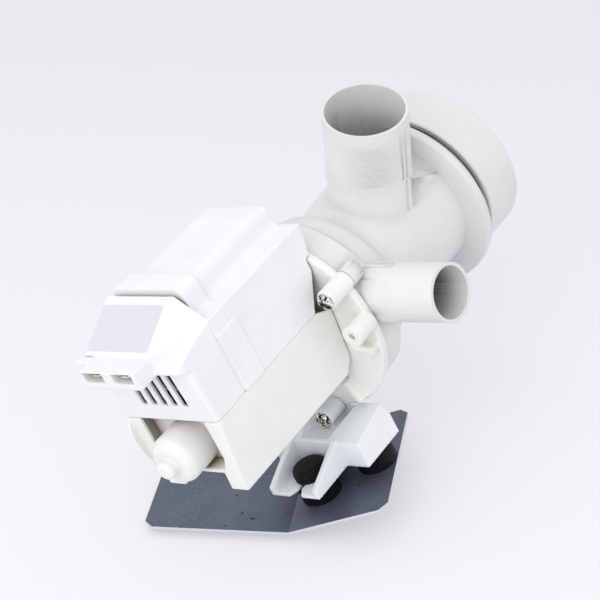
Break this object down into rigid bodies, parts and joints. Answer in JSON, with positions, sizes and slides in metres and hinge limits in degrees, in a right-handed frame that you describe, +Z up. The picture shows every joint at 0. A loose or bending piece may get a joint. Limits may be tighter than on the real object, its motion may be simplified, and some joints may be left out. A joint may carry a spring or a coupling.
{
  "type": "washer drain pump",
  "caption": "Washing machine drain pump: a magnet-rotor motor drives an impeller in a housing with upright inlet, side outlet and screw-in lint filter, on a bent foot plate.",
  "frame": {"origin": "centre of the underside of the base plate's flat half", "axes": "+Z up from the surface the plate lies on, +Y along the plate's bend towards the cleanout cap, +X across the bend towards the raised half"},
  "size_m": [0.1758, 0.2358, 0.172],
  "materials": {
    "cover_white": "fine satin moulding",
    "frame_cream": "fine satin moulding",
    "housing_grey": "satin moulding",
    "bracket_white": "satin moulding",
    "inner_plastic": "plain moulding",
    "black_rubber": "matt",
    "zinc_steel": "galvanised sheet",
    "bright_screw": "nickel plated",
    "shaft_steel": "ground",
    "core_steel": "laminated sheet",
    "ferrite": "pressed ferrite",
    "bronze": "sintered bronze",
    "copper": "enamelled wire",
    "tinned_brass": "tinned",
    "label_film": "plain film"
  },
  "bodies": {
    "pump": {"base_plate": "zinc_steel", "rubber_foot_front": "black_rubber", "rubber_foot_left": "black_rubber", "rubber_foot_right": "black_rubber", "mount_bracket": "bracket_white", "pump_housing": "housing_grey", "motor_flange": "frame_cream", "flange_seal": "black_rubber", "shaft_seal": "black_rubber", "front_bearing": "bronze", "rear_bearing": "bronze", "stator_core": "core_steel", "coil_bobbin_left": "inner_plastic", "coil_bobbin_right": "inner_plastic", "coil_winding_left": "copper", "coil_winding_right": "copper", "motor_cover": "cover_white", "motor_frame": "frame_cream", "bearing_holder": "inner_plastic", "terminal_left": "tinned_brass", "terminal_right": "tinned_brass", "flange_screws": "bright_screw", "rating_label": "label_film"},
    "rotor": {"rotor_shaft": "shaft_steel", "rotor_magnet": "ferrite", "thrust_washers": "inner_plastic", "impeller": "inner_plastic"},
    "filter": {"lint_filter": "inner_plastic"},
    "cap": {"cleanout_cap": "housing_grey", "cap_gasket": "black_rubber"}
  },
  "joints": [
    {"name": "rotor_spin", "type": "hinge", "parent": "pump", "child": "rotor", "pos_m": [0.03738, 0.0184, 0.0813], "axis": [0.4164, 0.8965, 0.1515], "continuous": true},
    {"name": "filter_slide", "type": "slide", "parent": "pump", "child": "filter", "axis": [0.4164, 0.8965, 0.1515], "range_m": [0, 0.009]},
    {"name": "cap_turn", "type": "hinge", "parent": "filter", "child": "cap", "pos_m": [0.09134, 0.13458, 0.10094], "axis": [0.4164, 0.8965, 0.1515], "range_deg": [0, 540]}
  ],
  "couplings": [
    {"joint": "filter_slide", "follows": "cap_turn", "m_per_rad": 0.000954}
  ]
}
